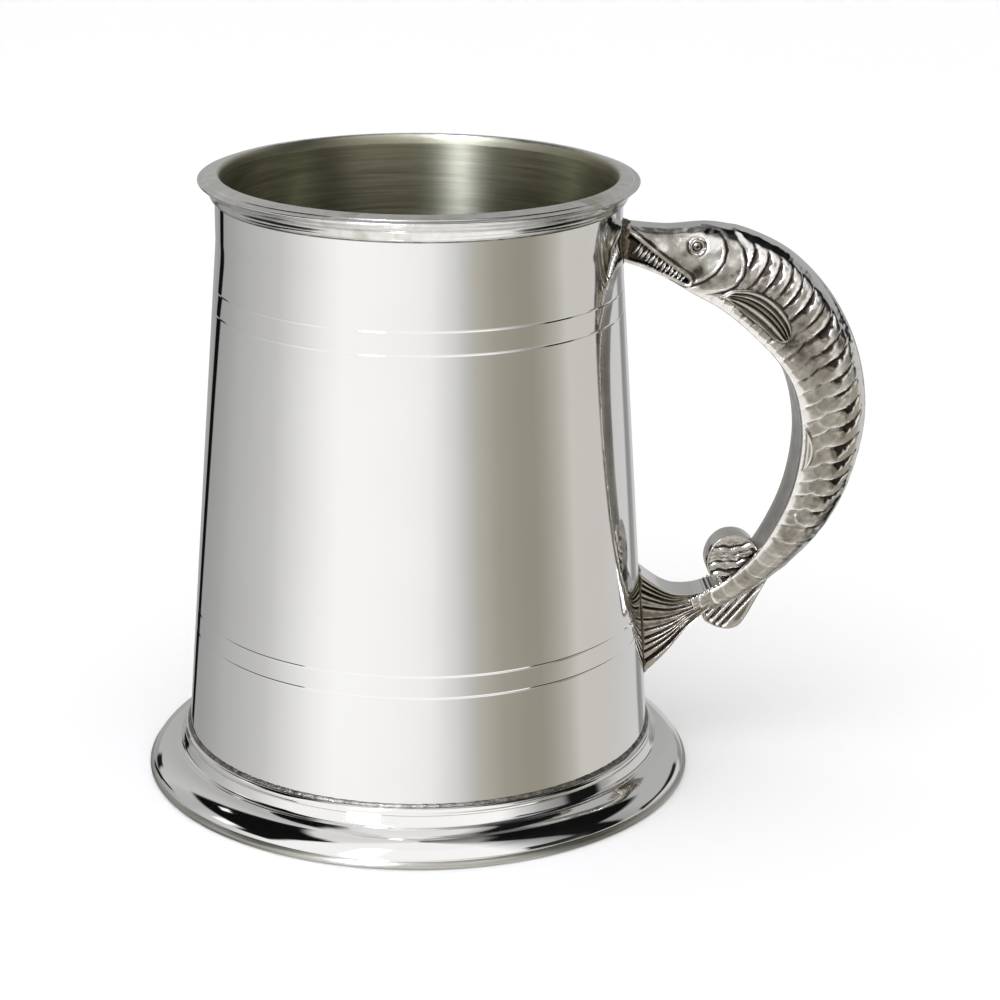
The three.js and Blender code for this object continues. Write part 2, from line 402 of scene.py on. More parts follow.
def worn_pewter():
    """Pewter polished by hand, softer than a mirror, and as dull inside as the bore, with the bore's painted
    shade: the rim.
    """
    look = Look("worn_pewter", Metallic=1.0)
    inside = look.range(look.reach(), *DULL_SHADED_BORE, 1, 0, smooth=True)
    rings = look.noise((80, 80, 5000), 3)
    cloud = look.noise(260, 4)
    stain = look.noise(95, 3, 0.6)
    tint = look.blend(look.spread(cloud), (0.66, 0.65, 0.61), (0.80, 0.795, 0.77))
    tint = look.blend(look.range(stain, 0.60, 0.74, 0, 0.7), tint, (0.42, 0.38, 0.30))
    # Inside the lip the colour turns dark olive: painted shade of the cup's inside.
    look.wear("Base Color", look.blend(inside, tint, (0.30, 0.29, 0.205)))
    look.wear("Roughness", look.plus(look.spread(cloud, 0.13, 0.21), look.times(inside, 0.22)))
    fine = look.bump(rings, 0.00001, 0.5)
    look.wear("Normal", look.bump(cloud, 0.00005, 0.4, fine))
    return look.material


def antiqued_pewter():
    """Cast pewter: bright where a hand rubs it and at painted glints, matt on the flanks, blackened
    in the recesses and darkened by painted shade on the cheeks and behind the head.
    """
    look = Look("antiqued_pewter", Metallic=1.0)
    cavity_and_shade = look.attribute("cavity_and_shade")
    polish_and_glints = look.attribute("polish_and_glints")
    tarnish_and_shade = look.attribute("tarnish_and_shade")
    grain = look.noise(2600, 4, 0.6)
    cloud = look.noise(420, 4, 0.6)
    patches = look.noise(150, 3, 0.5)
    uneven = look.plus(cavity_and_shade, look.range(cloud, 0.25, 0.75, -0.13, 0.13))
    # Near black in the patina of the hollows and the black mouth, and where painted shade was stored.
    dirt_and_shade = look.range(uneven, 0.57, 0.82, 0, 1, smooth=True)
    ridge = look.range(cavity_and_shade, 0.36, 0.50, 1, 0, smooth=True)
    matt = look.blend(look.spread(patches), (0.235, 0.213, 0.176), (0.44, 0.412, 0.36))
    worn_and_shaded = look.blend(look.range(tarnish_and_shade, 0, 1, 0, 1), (0.80, 0.775, 0.72), (0.36, 0.33, 0.27))
    edged = look.blend(ridge, matt, worn_and_shaded)
    brown = look.blend(cloud, (0.065, 0.055, 0.040), (0.20, 0.178, 0.135))
    # Brown where tarnished, and where painted shade lies on the cheek and below the eye.
    stain = look.plus(tarnish_and_shade, look.spread(cloud, -0.2, 0.2))
    stain = look.times(look.range(stain, 0.25, 0.9, 0, 1), look.range(ridge, 0, 1, 1, 0.3))
    stained_and_shaded = look.blend(stain, edged, brown)
    # Bright where rubbed, and at the painted glints on the cheek.
    buffed_and_glints = look.times(polish_and_glints, look.range(tarnish_and_shade, 0, 1, 1, 0.25))
    bright = look.blend(buffed_and_glints, stained_and_shaded, (0.78, 0.775, 0.755))
    look.wear("Base Color", look.blend(dirt_and_shade, bright, (0.036, 0.029, 0.023)))
    buffing = look.plus(look.spread(cloud, 0.20, 0.34), look.times(polish_and_glints, -0.17))
    look.wear("Roughness", look.plus(buffing, look.times(dirt_and_shade, 0.12)))
    cast = look.times(grain, look.range(polish_and_glints, 0, 1, 1, 0.06))
    look.wear("Normal", look.bump(cast, 0.00006, 0.5))
    return look.material


def solder_metal(name, grain_size, cloud_size, depth, dark, light, filed, speck, roughness):
    """Solder: grainy and half dull, with bright specks on the grain that the file has touched."""
    look = Look(name, Metallic=1.0)
    grain = look.noise(grain_size, 5, 0.7)
    cloud = look.noise(cloud_size, 4)
    base = look.blend(look.spread(cloud), dark, light)
    look.wear("Base Color", look.blend(look.range(grain, *filed, 0, 1), base, speck))
    look.wear("Roughness", look.spread(grain, *roughness))
    look.wear("Normal", look.bump(grain, depth, 0.8))
    return look.material


# ---- turned pieces


def groove(z):
    """One turned line: a narrow V with softened shoulders."""
    half = LINE_WIDTH / 2
    shoulder = half * 1.6
    return [
        [barrel_radius(z - shoulder), z - shoulder],
        [barrel_radius(z - half) - 0.006, z - half],
        [barrel_radius(z) - LINE_DEPTH, z - 0.02],
        [barrel_radius(z) - LINE_DEPTH, z + 0.02],
        [barrel_radius(z + half) - 0.006, z + half],
        [barrel_radius(z + shoulder), z + shoulder],
    ]


def make_barrel(outside_metal, inside_metal):
    stops = [BARREL_BOTTOM, 20, *LINE_HEIGHTS[:2], 50, 66, 80, *LINE_HEIGHTS[2:], 103]
    outside = []
    for z in stops:
        outside += groove(z) if z in LINE_HEIGHTS else [[barrel_radius(z), z]]
    neck = smooth_curve([
        [barrel_radius(103.5), 103.5], [barrel_radius(105.5), 105.5], [38.69, 107.3], [NECK_RADIUS, 109],
        [NECK_RADIUS, 112],
    ], 24)
    outside += neck.tolist() + [[NECK_RADIUS, BARREL_TOP]]
    inside = [[BORE, BARREL_TOP], [BORE, 111]]
    inside += [[barrel_radius(z) - WALL, z] for z in (106, 80, 45, BARREL_BOTTOM)]

    def which(radius, z):
        return 1 if radius < barrel_radius(z) - WALL / 2 - 0.1 else 0

    made = lathe("barrel_wall", outside + inside, [outside_metal, inside_metal], which)
    return place(made, "polished_pewter", "barrel")


def make_rim(metal):
    seat = NECK_RADIUS + 0.3
    above = BARREL_TOP + 0.02
    collar = smooth_curve([[39.14, 114.92], [39.42, 115.2], [39.62, 115.6], [39.68, 115.95]], 10)
    flare = smooth_curve([
        [39.72, 116.08], [39.86, 116.5], [40.12, 116.85], [40.6, 117.2], [41.1, 117.6], [41.4, 117.9],
    ], 16)
    bead = smooth_curve([
        [41.48, 118.02], [41.76, 118.18], [41.88, 118.48], [41.74, 118.7], [41.3, 118.84], [40.8, 118.9],
    ], 18)
    lip = smooth_curve([
        [40.7, 118.96], [40.53, 119.14], [40.1, 119.3], [39.6, 119.42], [39.0, 119.53], [38.25, 119.59],
        [37.97, 119.45], [37.76, 119.1], [37.6, 118.65], [37.48, 118.1], [BORE, 117.66],
    ], 80)
    under = [[BORE, above], [seat, above], [seat, 114.9], [39.08, 114.9]]
    profile = np.vstack([under[2:], collar, flare, bead, lip, under[:2]])
    return place(lathe("rim_collar", profile, [metal]), "polished_pewter", "rim")


def make_foot(polished, matt):
    rest = [[51.6, 0.0], [53.35, 0.0]]
    edge = smooth_curve([
        [53.45, 0.02], [53.8, 0.16], [53.98, 0.5], [53.96, 0.95], [53.75, 1.3], [53.5, 1.46],
    ], 16)
    nick = [[53.38, 1.5], [53.3, 1.6]]
    swell = smooth_curve([
        [53.33, 1.72], [52.95, 2.5], [52.2, 3.4], [51.1, 4.25], [49.8, 4.97], [48.4, 5.5],
    ], 40)
    crease = [[48.3, 5.54], [48.22, 5.62]]
    cove = smooth_curve([
        [48.2, 5.63], [47.9, 5.7], [47.66, 5.88], [47.48, 6.15], [47.28, 6.7], [47.1, 7.2], [46.95, 7.62],
    ], 30)
    step = [[46.7, 7.72]]
    shoulder = smooth_curve([[46.9, 7.82], [46.92, 8.2], [46.8, 8.6], [46.6, 8.85]], 10)
    inside = [[46.35, 9.0], [41, 9], [41, 7.6], [44.6, 7.6], [46.4, 5.8], [49.4, 3.6], [50.9, 2.2]]
    profile = np.vstack([rest, edge, nick, swell, crease, cove, step, shoulder, inside])

    def which(radius, z):
        underside = z < 6 - (radius - 46.4) * 0.8 and radius < 51.5
        return 1 if z < 1.55 or radius < 46.4 or underside else 0

    return place(lathe("foot_flange", profile, [polished, matt], which), "polished_pewter", "foot")


def beads(angle, seed, size, waves=(61, 127, 199, 283, 347)):
    """An uneven, repeatable ripple round a ring of solder, made of so many waves to the turn."""
    total = np.zeros_like(angle)
    for order, count in enumerate(waves):
        total = total + np.sin(angle * count + seed * (order + 1) * 1.7) / (1 + 0.35 * order)
    return size * total / 2


def make_foot_solder(metal):
    inner = barrel_radius(BARREL_BOTTOM) + 0.02
    section = smooth_curve([
        [inner, 9.05], [46.22, 9.03], [46.19, 9.25], [46.02, 9.5], [inner - 0.01, 9.68],
    ], 12)

    def uneven(angle, radius, height):
        ripple = beads(angle, 1.0, 0.035) * smoothstep(inner, inner + 0.15, radius)
        return ripple, beads(angle, 2.3, 0.05) * smoothstep(9.15, 9.4, height)

    profile = np.vstack([section, [[inner - 0.05, 9.4]]])
    made = lathe("foot_solder_seam", profile, [metal], shift=uneven, segments=SEAM_SEGMENTS)
    return place(made, "solder", "foot_solder")


def make_rim_solder(metal):
    inner = NECK_RADIUS

    def uneven(angle, radius, height):
        share = smoothstep(inner, inner + 0.2, radius)
        return beads(angle, 0.6, 0.04) * share, beads(angle, 3.1, 0.05) * share

    section = smooth_curve([[inner, 114.55], [38.82, 114.62], [38.95, 114.74], [39.0, 114.87]], 8)
    profile = np.vstack([section, [[inner, 114.88]]])
    made = lathe("rim_solder_seam", profile, [metal], shift=uneven, segments=SEAM_SEGMENTS)
    return place(made, "solder", "rim_solder")


def make_floor(metal):
    """The disc of the floor, with the shallow rings that the turning tool leaves."""
    face = FLOOR_TOP - 0.02
    rings = [[radius, face - 0.018 * math.cos(radius * 5.2)] for radius in np.arange(0.6, 42.6, 0.6)]
    profile = [[0.0, FLOOR_BOTTOM], [FLOOR_RADIUS, FLOOR_BOTTOM], [FLOOR_RADIUS, FLOOR_TOP]]
    profile += rings[::-1] + [[0.0, face]]
    made = lathe("floor_plate", profile, [metal], segments=FLOOR_SEGMENTS)
    return place(made, "satin_pewter", "floor_disc")


def make_floor_solder(metal):
    outer = barrel_radius(12) - WALL - 0.02
    section = smooth_curve([
        [outer - 1.4, 10.83], [outer - 0.9, 10.95], [outer - 0.4, 11.4], [outer, 12.1],
    ], 12)

    def uneven(angle, radius, height):
        free = radius < outer - 0.05
        return beads(angle, 4.0, 0.05) * free, beads(angle, 5.0, 0.04) * free

    profile = np.vstack([section, [[outer + 0.05, 10.83]]])
    made = lathe("floor_solder_fillet", profile, [metal], shift=uneven, segments=FILLET_SEGMENTS)
    return place(made, "solder", "floor_solder")


# ---- the pike

ALONG = 540  # stations from snout to tail
UP_THE_FLANK = 56  # points from the belly's edge to the back
ACROSS_THE_BELLY = 4  # points from the belly's middle to its edge

GILL_COVER = [
    [55.6, 110.6], [57, 108.6], [58, 106.8], [58.3, 105], [57.8, 102.8], [56.4, 101], [54.3, 99.5],
    [51.6, 98.4], [48, 96.8],
]
GILL_EDGE = [
    [58.6, 109.6], [60.4, 107.2], [61.6, 105.2], [62.1, 102.8], [61.7, 100.2], [60.4, 98.4], [58.4, 97.4],
    [55.8, 96.9], [51, 96.4],
]
# The cheek is darkest above the jaw line because painted shade lies along the lip.
JAW = [[41, 107.5], [46, 104.5], [50.5, 101.4], [53.5, 101.5]]  # above which the cheek is darkest
MOUTH = [
    [36, 111], [39.3, 108.7], [43, 105.9], [47, 102.7], [51.1, 99.75], [51.35, 99.3], [51.2, 98.85],
    [50.7, 98.72], [47.5, 100.2], [43.5, 101.9], [39.5, 103.3], [36, 104.6],
]
EYE = (52.8, 105.75)
EYE_RADIUS = 1.5
SOCKET_DEPTH = 0.5
COVER_STEP = 0.30  # how far the gill cover stands above what lies behind it
EDGE_STEP = 0.26
MOUTH_END = 53.5  # how far out from the axis the mouth's relief reaches
MOUTH_DEPTH = 1.25
# Painted glints: places on the cheek made bright, polished and free of tarnish, with their radii.
CHEEK_GLINTS = (
    (56.1, 102.3, 1.5), (55.9, 106.0, 1.2), (53.2, 108.4, 0.9), (46.4, 105.6, 0.9), (59.6, 103.2, 1.2),
)
TEETH = 13
TEETH_START, TEETH_END = np.array([41.2, 105.3]), np.array([50.2, 99.7])
KNOBS = 9  # along the ridge at the root of the tail
SMOOTH_BACK = (0.66, 0.77)  # how far up the flank the scales give way to the smooth back
BACK_RISE = 0.14
HOLLOW_DEPTH = 0.26
TAIL_FADE = (104, 124)  # distances along the fish between which the relief grows shallow
# Scales overlap in columns: (middle, half-width) as shares of the way up the flank, then how far the
# free edge bulges tailwards, in rows. The front of the fish has two columns and the rear has one.
FRONT_SCALES = ((0.14, 0.20, 0.35), (0.48, 0.29, 0.80))
REAR_SCALES = ((0.38, 0.40, 0.62),)
FRONT_RISE = 0.72  # how far a scale's free edge stands above the root of the next
REAR_RISE = 0.30
REAR_START = 84  # distance along the fish where the front scales give way to the rear ones
# Distance along the fish and the length of one row of scales there.
SCALE_ROWS = np.array([[0, 2.5], [24, 2.5], [45, 2.9], [65, 3.6], [95, 3.4], [125, 2.4], [150, 1.8]])
ROW_DRAWS = 200  # random values drawn for the rows of scales, which are numbered from the first row
FIRST_ROW = -20


def signed_distance(x, z, line):
    """Distance from points to an open line, positive on the line's right-hand side."""
    line = np.array(line, float)
    nearest = np.full(x.shape, 1e9)
    side = np.zeros(x.shape)
    for (ax, az), (bx, bz) in zip(line[:-1], line[1:]):
        dx, dz = bx - ax, bz - az
        share = np.clip(((x - ax) * dx + (z - az) * dz) / (dx * dx + dz * dz), 0, 1)
        away = np.hypot(x - ax - share * dx, z - az - share * dz)
        turn = (x - ax) * dz - (z - az) * dx
        closer = away < nearest
        nearest = np.where(closer, away, nearest)
        side = np.where(closer, np.sign(turn), side)
    return nearest * side


def inside_distance(x, z, outline):
    """Distance from points to a closed outline, positive inside it."""
    outline = np.array(outline, float)
    closed = np.vstack([outline, outline[:1]])
    nearest = np.abs(signed_distance(x, z, closed))
    inside = np.zeros(x.shape, bool)
    for (ax, az), (bx, bz) in zip(closed[:-1], closed[1:]):
        if az == bz:
            continue
        crosses = (az > z) != (bz > z)
        inside ^= crosses & (x < ax + (z - az) * (bx - ax) / (bz - az))
    return np.where(inside, nearest, -nearest)


def ripples(x, y, z, wave, seed):
    """Smooth repeatable unevenness of about -1 to 1, with bumps of roughly the given length."""
    random = np.random.default_rng(seed)
    total = np.zeros(np.broadcast(x, y, z).shape)
    for _ in range(14):
        way = random.normal(size=3)
        way /= np.linalg.norm(way)
        length = wave * random.uniform(0.7, 1.6)
        phase = random.uniform(0, 2 * math.pi)
        total += np.sin((x * way[0] + y * way[1] + z * way[2]) * 2 * math.pi / length + phase)
    return total / 5


def bell(distance, width):
    return np.exp(-((distance / width) ** 2))


def row_length(along):
    return np.interp(along, *SCALE_ROWS.T)


def of_row(values, number):
    """The value that belongs to each row of scales, by the row's number."""
    return values[np.clip(number - FIRST_ROW, 0, len(values) - 1)]


def scale_rows(along, up, column, index):
    """Where places lie on the scales of one column.

    Returns how far across its scale each place is, -1 to 1, how many rows it is from the scale's free
    edge, 0 to 1, and the number of the scale.
    """
    middle, half, bulge = column
    fine = np.linspace(0, SCALE_ROWS[-1, 0], 600)
    rows_there = np.concatenate([[0], np.cumsum(np.diff(fine) / row_length(fine)[1:])])
    row = np.interp(along, fine, rows_there)
    jitter = np.random.default_rng(11 + index).uniform(-0.16, 0.16, ROW_DRAWS)
    sideways = (up - middle) / half
    offset = 0.5 * (index % 2) + bulge * np.sqrt(np.clip(1 - sideways**2, 0, 1))
    number = np.ceil(row - offset).astype(int)
    ahead = number + offset + of_row(jitter, number) - row
    return sideways, np.where(ahead < 0, ahead + 1, ahead), number


def scale_columns(along, up, columns, rise):
    """Height of overlapping scales, 0 to about their rise, at places on the flank."""
    pitch = row_length(along)
    best = np.zeros(up.shape)
    for index, column in enumerate(columns):
        sideways, ahead, _ = scale_rows(along, up, column, index)
        height = rise * (1 - ahead / 1.9 - 0.18 * sideways**2)
        height += 0.14 * rise * bell(ahead * pitch, 0.34)
        height -= 0.20 * rise * bell((1 - ahead) * pitch, 0.45)
        best = np.where(np.abs(sideways) < 1, np.maximum(best, height), best)
    return np.maximum(best, 0.12 * rise)


def dark_hollows(along, up, bend, spread=1.0):
    """The flame-shaped blackened hollows between the upper scales and the smooth back, 0 to 1."""
    _, ahead, number = scale_rows(along, up, FRONT_SCALES[1], 1)
    random = np.random.default_rng(23)
    strength = of_row(random.uniform(0.25, 1.0, ROW_DRAWS), number)
    shift = of_row(random.uniform(-0.05, 0.05, ROW_DRAWS), number)
    across = (up - 0.45 - shift) / 0.29
    width = 0.62 * spread * strength * np.clip(1 - across, 0, 1) ** 0.8 * smoothstep(0, 0.35, across)
    front = smoothstep(24, 30, along) * (1 - smoothstep(REAR_START - 4, REAR_START + 8, along))
    return smoothstep(-0.16, 0.08, ahead + 0.10 * bend - 1 + width) * smoothstep(0.02, 0.08, width) * front


def scale_relief(along, up):
    """The scales of the whole flank, centred on zero, with their steps slightly softened."""
    total = 0
    for ahead in (-0.14, 0, 0.14):
        for higher in (-0.007, 0, 0.007):
            front = scale_columns(along + ahead, up + higher, FRONT_SCALES, FRONT_RISE) - 0.6 * FRONT_RISE
            rear = scale_columns(along + ahead, up + higher, REAR_SCALES, REAR_RISE) - 0.5 * REAR_RISE
            share = smoothstep(REAR_START - 5, REAR_START + 5, along + 10 * (up - 0.5))
            total = total + (front * (1 - share) + rear * share) / 9
    return total


class FishSkin:
    """The skin of the fish as a grid, station by station, with the relief worked into it."""

    def __init__(self):
        back = smooth_curve(BACK, ALONG)
        belly = smooth_curve(BELLY, ALONG)
        shares = np.linspace(0, 1, len(HALF_WIDTHS))
        width = smooth_curve(np.stack([shares, HALF_WIDTHS], axis=1), ALONG)[:, 1]
        flank = smooth_curve(np.array(FLANK) * FLANK_SIZE, UP_THE_FLANK) / FLANK_SIZE
        edge = flank[0, 1]
        level = np.linspace(0, edge, ACROSS_THE_BELLY, endpoint=False)
        share = np.concatenate([np.zeros(len(level)), flank[:, 0]])
        half = np.concatenate([level, flank[:, 1]])
        up = np.concatenate([level / edge - 1, np.linspace(0, 1, len(flank))])
        other = slice(-2, 0, -1)
        share = np.concatenate([share, share[other]])
        half = np.concatenate([half, -half[other]])
        up = np.concatenate([up, up[other]])
        steps = np.linalg.norm(np.diff((back + belly) / 2, axis=0), axis=1)
        along = np.concatenate([[0], np.cumsum(steps)])
        self.along, self.up = np.meshgrid(along, up, indexing="ij")
        spine = belly[:, None, :] + (back - belly)[:, None, :] * share[None, :, None]
        sideways = width[:, None] * half[None, :]
        self.grid = np.stack([spine[..., 0], sideways, spine[..., 1]], axis=2)
        self.flank = flank_finder(*self.mesh())
        self.raise_relief()

    def raise_relief(self):
        forward = np.gradient(self.grid, axis=0)
        round_it = (np.roll(self.grid, -1, axis=1) - np.roll(self.grid, 1, axis=1)) / 2
        normal = np.cross(round_it, forward)
        normal /= np.linalg.norm(normal, axis=2, keepdims=True)
        middle = self.grid.mean(axis=1, keepdims=True)
        outward = np.sign(((self.grid - middle) * normal).sum(axis=2, keepdims=True).mean())
        height = self.relief()
        self.grid = self.grid + normal * outward * height[..., None]

    def relief(self):
        x, y, z = np.moveaxis(self.grid, 2, 0)
        up, along = self.up, self.along
        on_flank = smoothstep(0.01, 0.09, up) * (1 - smoothstep(0.84, 0.95, up))
        cover = signed_distance(x, z, GILL_COVER)
        edge = signed_distance(x, z, GILL_EDGE)
        gills = EDGE_STEP * smoothstep(-0.16, 0.16, edge) * (0.35 + 0.65 * np.exp(-np.abs(edge) / 2.2))
        gills += COVER_STEP * smoothstep(-0.16, 0.16, cover) * (0.4 + 0.6 * np.exp(-np.abs(cover) / 3.0))
        for distance in (cover, edge):
            gills += 0.12 * bell(distance - 0.3, 0.24) - 0.13 * bell(distance + 0.28, 0.24)
        gills *= 1 - smoothstep(0.56, 0.76, up)
        from_eye = np.hypot(x - EYE[0], z - EYE[1])
        gills -= 0.16 * bell(from_eye - EYE_RADIUS - 0.3, 0.28)
        gills -= SOCKET_DEPTH * (1 - smoothstep(1.0, 1.45, from_eye))
        scaly = smoothstep(0.2, 1.4, -edge) * (x > 50)
        bend = ripples(x, y, z, 1.5, 31)
        self.hollows = dark_hollows(along, up, bend) * scaly
        self.smudges = dark_hollows(along, up + 0.05, bend, 1.7) * scaly
        upper_front = smoothstep(0.3, 0.6, up) * (1 - smoothstep(REAR_START - 8, REAR_START + 4, along))
        depth = 0.68 + 0.6 * upper_front
        smooth_back = smoothstep(*SMOOTH_BACK, up)
        scales = scale_relief(along, up) * depth * (1 - smooth_back) + BACK_RISE * smooth_back
        fade_tail = 1 - 0.7 * smoothstep(*TAIL_FADE, along)
        height = on_flank * (gills * (1 - scaly) + scales * scaly * fade_tail)
        height += smooth_back * scaly * BACK_RISE * fade_tail - HOLLOW_DEPTH * self.hollows
        mouth = inside_distance(x, z, MOUTH)
        lip = 0.26 * bell(mouth + 0.42, 0.28) - 0.12 * bell(mouth + 1.0, 0.25)
        flank_only = (up > 0.012) * (1 - smoothstep(0.9, 1.0, up))
        height += flank_only * (x < MOUTH_END) * (lip - MOUTH_DEPTH * smoothstep(0.0, 0.4, mouth))
        height += on_flank * (0.030 * ripples(x, y, z, 1.3, 3) + 0.05 * ripples(x, y, z, 4.0, 5))
        return height

    def mesh(self):
        stations, round_count = self.grid.shape[:2]
        faces = band_faces(stations, round_count)
        faces.append(tuple(range(round_count)))
        faces.append(tuple(range((stations - 1) * round_count, stations * round_count))[::-1])
        return self.grid.reshape(-1, 3), faces

    def finish(self):
        """Each point's polish, tarnish, soot and blackness.

        The edge of the belly and the ridge of the back are rubbed bright. The cheeks are tarnished, with
        painted shade along the jaw and below the eye and painted glints between; painted shade also darkens
        the upper flank behind the head, soot sticks in the hollows near the back, and the mouth is black.
        """
        x, y, z = np.moveaxis(self.grid, 2, 0)
        up, along = self.up, self.along
        polish_and_glints = np.maximum(bell(up - 0.012, 0.018), smoothstep(0.66, 0.76, up))
        cheek = smoothstep(-0.5, 0.5, signed_distance(x, z, GILL_EDGE)) * (x < 64)
        glints = np.maximum.reduce([
            bell(np.hypot(x - spot_x, z - spot_z), size) for spot_x, spot_z, size in CHEEK_GLINTS
        ])
        # Painted glints: bright, polished spots on the cheek.
        polish_and_glints = np.maximum(polish_and_glints, (0.1 + 0.5 * glints) * cheek)
        polish_and_glints = np.where(up <= 0, 0.35, polish_and_glints)
        front = 1 - smoothstep(REAR_START - 10, REAR_START + 10, along)
        soot = 0.25 + 0.6 * smoothstep(0.35, 0.6, up) * front
        soot = np.where(x < 60, 0.62, soot)
        # Painted shade along the jaw over the cheek's tarnish, lightened at the painted glints.
        dark_cheek = 0.45 + 0.55 * bell(signed_distance(x, z, JAW) - 0.9, 1.6)
        dark_cheek = dark_cheek + 0.22 * ripples(x, y, z, 2.4, 41)
        dark_cheek = np.clip(dark_cheek - 1.1 * glints, 0, 1) * cheek
        tarnish_and_shade = 0.95 * dark_cheek
        from_eye = np.hypot(x - EYE[0], z - EYE[1])
        # Painted shade below the eye, stored as tarnish.
        tarnish_and_shade = np.maximum(tarnish_and_shade, 0.6 * bell(from_eye - EYE_RADIUS - 0.4, 0.6) * (z < EYE[1] + 1))
        tarnish_and_shade = np.maximum(tarnish_and_shade, 0.35 * bell(up - 0.52, 0.16) * front * (x > 58))
        tarnish_and_shade = np.maximum(tarnish_and_shade, 0.85 * self.smudges)
        tarnish_and_shade = tarnish_and_shade * (up > 0.01) * (1 - smoothstep(0.76, 0.88, up))
        tarnish_and_shade = np.where(up <= 0, 0.5, tarnish_and_shade)
        black = 0.5 * smoothstep(0.1, 0.4, inside_distance(x, z, MOUTH)) * (x < MOUTH_END) * (up > 0.012)
        black = np.maximum(black * (up < 0.9), 0.36 * self.hollows)
        shoulder = smoothstep(22, 28, along) * (1 - smoothstep(44, 60, along))
        # Painted shade on the cheeks and on the upper flank behind the head, stored as blackness.
        shade = (0.27 * dark_cheek + 0.2 * shoulder) * (up > 0.01) * (1 - smoothstep(0.72, 0.84, up))
        black = np.maximum(black, shade)
        return np.stack([polish_and_glints, tarnish_and_shade, soot, black], axis=2).reshape(-1, 4)


def grid_faces(rows, columns, start=0, flip=False):
    corners = [start + i * columns + j for i in range(rows - 1) for j in range(columns - 1)]
    faces = [(a, a + 1, a + columns + 1, a + columns) for a in corners]
    return [face[::-1] for face in faces] if flip else faces


def slab(top, bottom):
    """A closed solid between two grids of points of the same size."""
    rows, columns = top.shape[:2]
    points = np.vstack([top.reshape(-1, 3), bottom.reshape(-1, 3)])
    count = rows * columns
    faces = grid_faces(rows, columns) + grid_faces(rows, columns, count, flip=True)
    rim = list(range(columns))
    rim += [i * columns + columns - 1 for i in range(1, rows)]
    rim += [(rows - 1) * columns + j for j in range(columns - 2, -1, -1)]
    rim += [i * columns for i in range(rows - 2, 0, -1)]
    for a, b in zip(rim, rim[1:] + rim[:1]):
        faces.append((b, a, count + a, count + b))
    return points, faces


def pebble(centre, radii, turn=0.0, rings=8, around=14):
    """A small ellipsoid with radii along, out of and across its own axis, turned in the XZ plane."""
    bend = np.arange(1, rings)[:, None] * math.pi / rings
    spin = np.arange(around)[None, :] * 2 * math.pi / around
    along = np.cos(bend) * np.ones_like(spin)
    ball = np.stack([along, np.sin(bend) * np.cos(spin), np.sin(bend) * np.sin(spin)], axis=2)
    points = np.vstack([[[1, 0, 0]], ball.reshape(-1, 3), [[-1, 0, 0]]]) * radii
    c, s = math.cos(turn), math.sin(turn)
    along, out, across = points.T
    turned = np.stack([along * c - across * s, out, along * s + across * c], axis=1)
    return turned + np.array(centre), capped_faces(rings - 1, around)


def round_ring(centre, radius, thickness, around=48, section=10):
    """A torus that lies flat on the flank."""
    spin = np.arange(around)[:, None] * 2 * math.pi / around
    bend = np.arange(section)[None, :] * 2 * math.pi / section
    reach = radius + thickness * np.cos(bend)
    rise = thickness * np.sin(bend) * np.ones_like(spin)
    points = np.stack([reach * np.cos(spin), rise, reach * np.sin(spin)], axis=2).reshape(-1, 3)
    return points + np.array(centre), band_faces(around, section, closed=True)


def fin_plate(outline, half, face_relief, rings=26, around=140, border=0.55):
    """A thick fin: ribbed on both faces inside a smooth border, with a plain rounded edge."""
    loop = smooth_loop(outline, around)
    centre = loop.mean(axis=0)
    inner = np.linspace(0, 0.955, rings)[1:]
    shares = np.concatenate([inner, [0.985, 1.0, 1.0]])
    levels = np.concatenate([np.full(len(inner), half), [half - 0.07, half - 0.32, 0.0]])
    layers = []
    for share, level in zip(shares, levels):
        ring = centre + (loop - centre) * share
        away = np.linalg.norm(loop - ring, axis=1)
        depth = np.full(around, level)
        if share < 0.98:
            depth = depth + face_relief(ring[:, 0], ring[:, 1]) * smoothstep(border * 0.6, border * 1.3, away)
        layers.append(np.stack([ring[:, 0], depth, ring[:, 1]], axis=1))
    middle = half + float(face_relief(centre[:1], centre[1:])[0])
    tips = np.array([[centre[0], middle, centre[1]]]), np.array([[centre[0], -middle, centre[1]]])
    back = [layer * (1, -1, 1) for layer in layers[-2::-1]]
    return np.vstack([tips[0], *layers, *back, tips[1]]), capped_faces(len(layers) * 2 - 1, around)


# Where the tail's grooves lie, as shares of the way from its low edge to its top, and their widths.
TAIL_GROOVES = (
    (0.10, 0.42), (0.20, 0.30), (0.27, 0.24), (0.335, 0.34), (0.42, 0.24), (0.53, 0.22), (0.66, 0.26),
    (0.755, 0.22), (0.82, 0.34), (0.885, 0.26), (0.94, 0.2),
)
TAIL_ROWS = 46
TAIL_COLUMNS = 150


def tail_fan():
    """The fan of the tail: ribs that spread from its root to the barrel, and a plain top edge."""
    low = smooth_curve([
        [57.8, 31.6], [55.3, 29.4], [52.8, 27], [50.1, 23.4], [47.4, 20.4], [45.2, 18.4], [42, 16],
    ], TAIL_ROWS)
    high = smooth_curve([
        [58.6, 35.9], [55, 34.9], [51.5, 34.8], [49.2, 35.5], [46.9, 36.9], [44.1, 39.1], [41.5, 42],
    ], TAIL_ROWS)
    x, z, up, span = sheet(low, high, TAIL_COLUMNS)
    depth = np.zeros((TAIL_ROWS + 1, TAIL_COLUMNS))
    for groove_at, width in TAIL_GROOVES:
        depth -= 1.7 * width * bell((up - groove_at) * span, width) * smoothstep(3.5, 7, span)
    depth -= 0.12 * smoothstep(0.05, 0.0, up) * np.ones_like(span)
    half = TAIL_THICKNESS / 2 + depth + 0.03 * ripples(x, 0, z, 1.5, 9)
    top = np.stack([x, half, z], axis=2)
    return slab(top, top * (1, -1, 1))


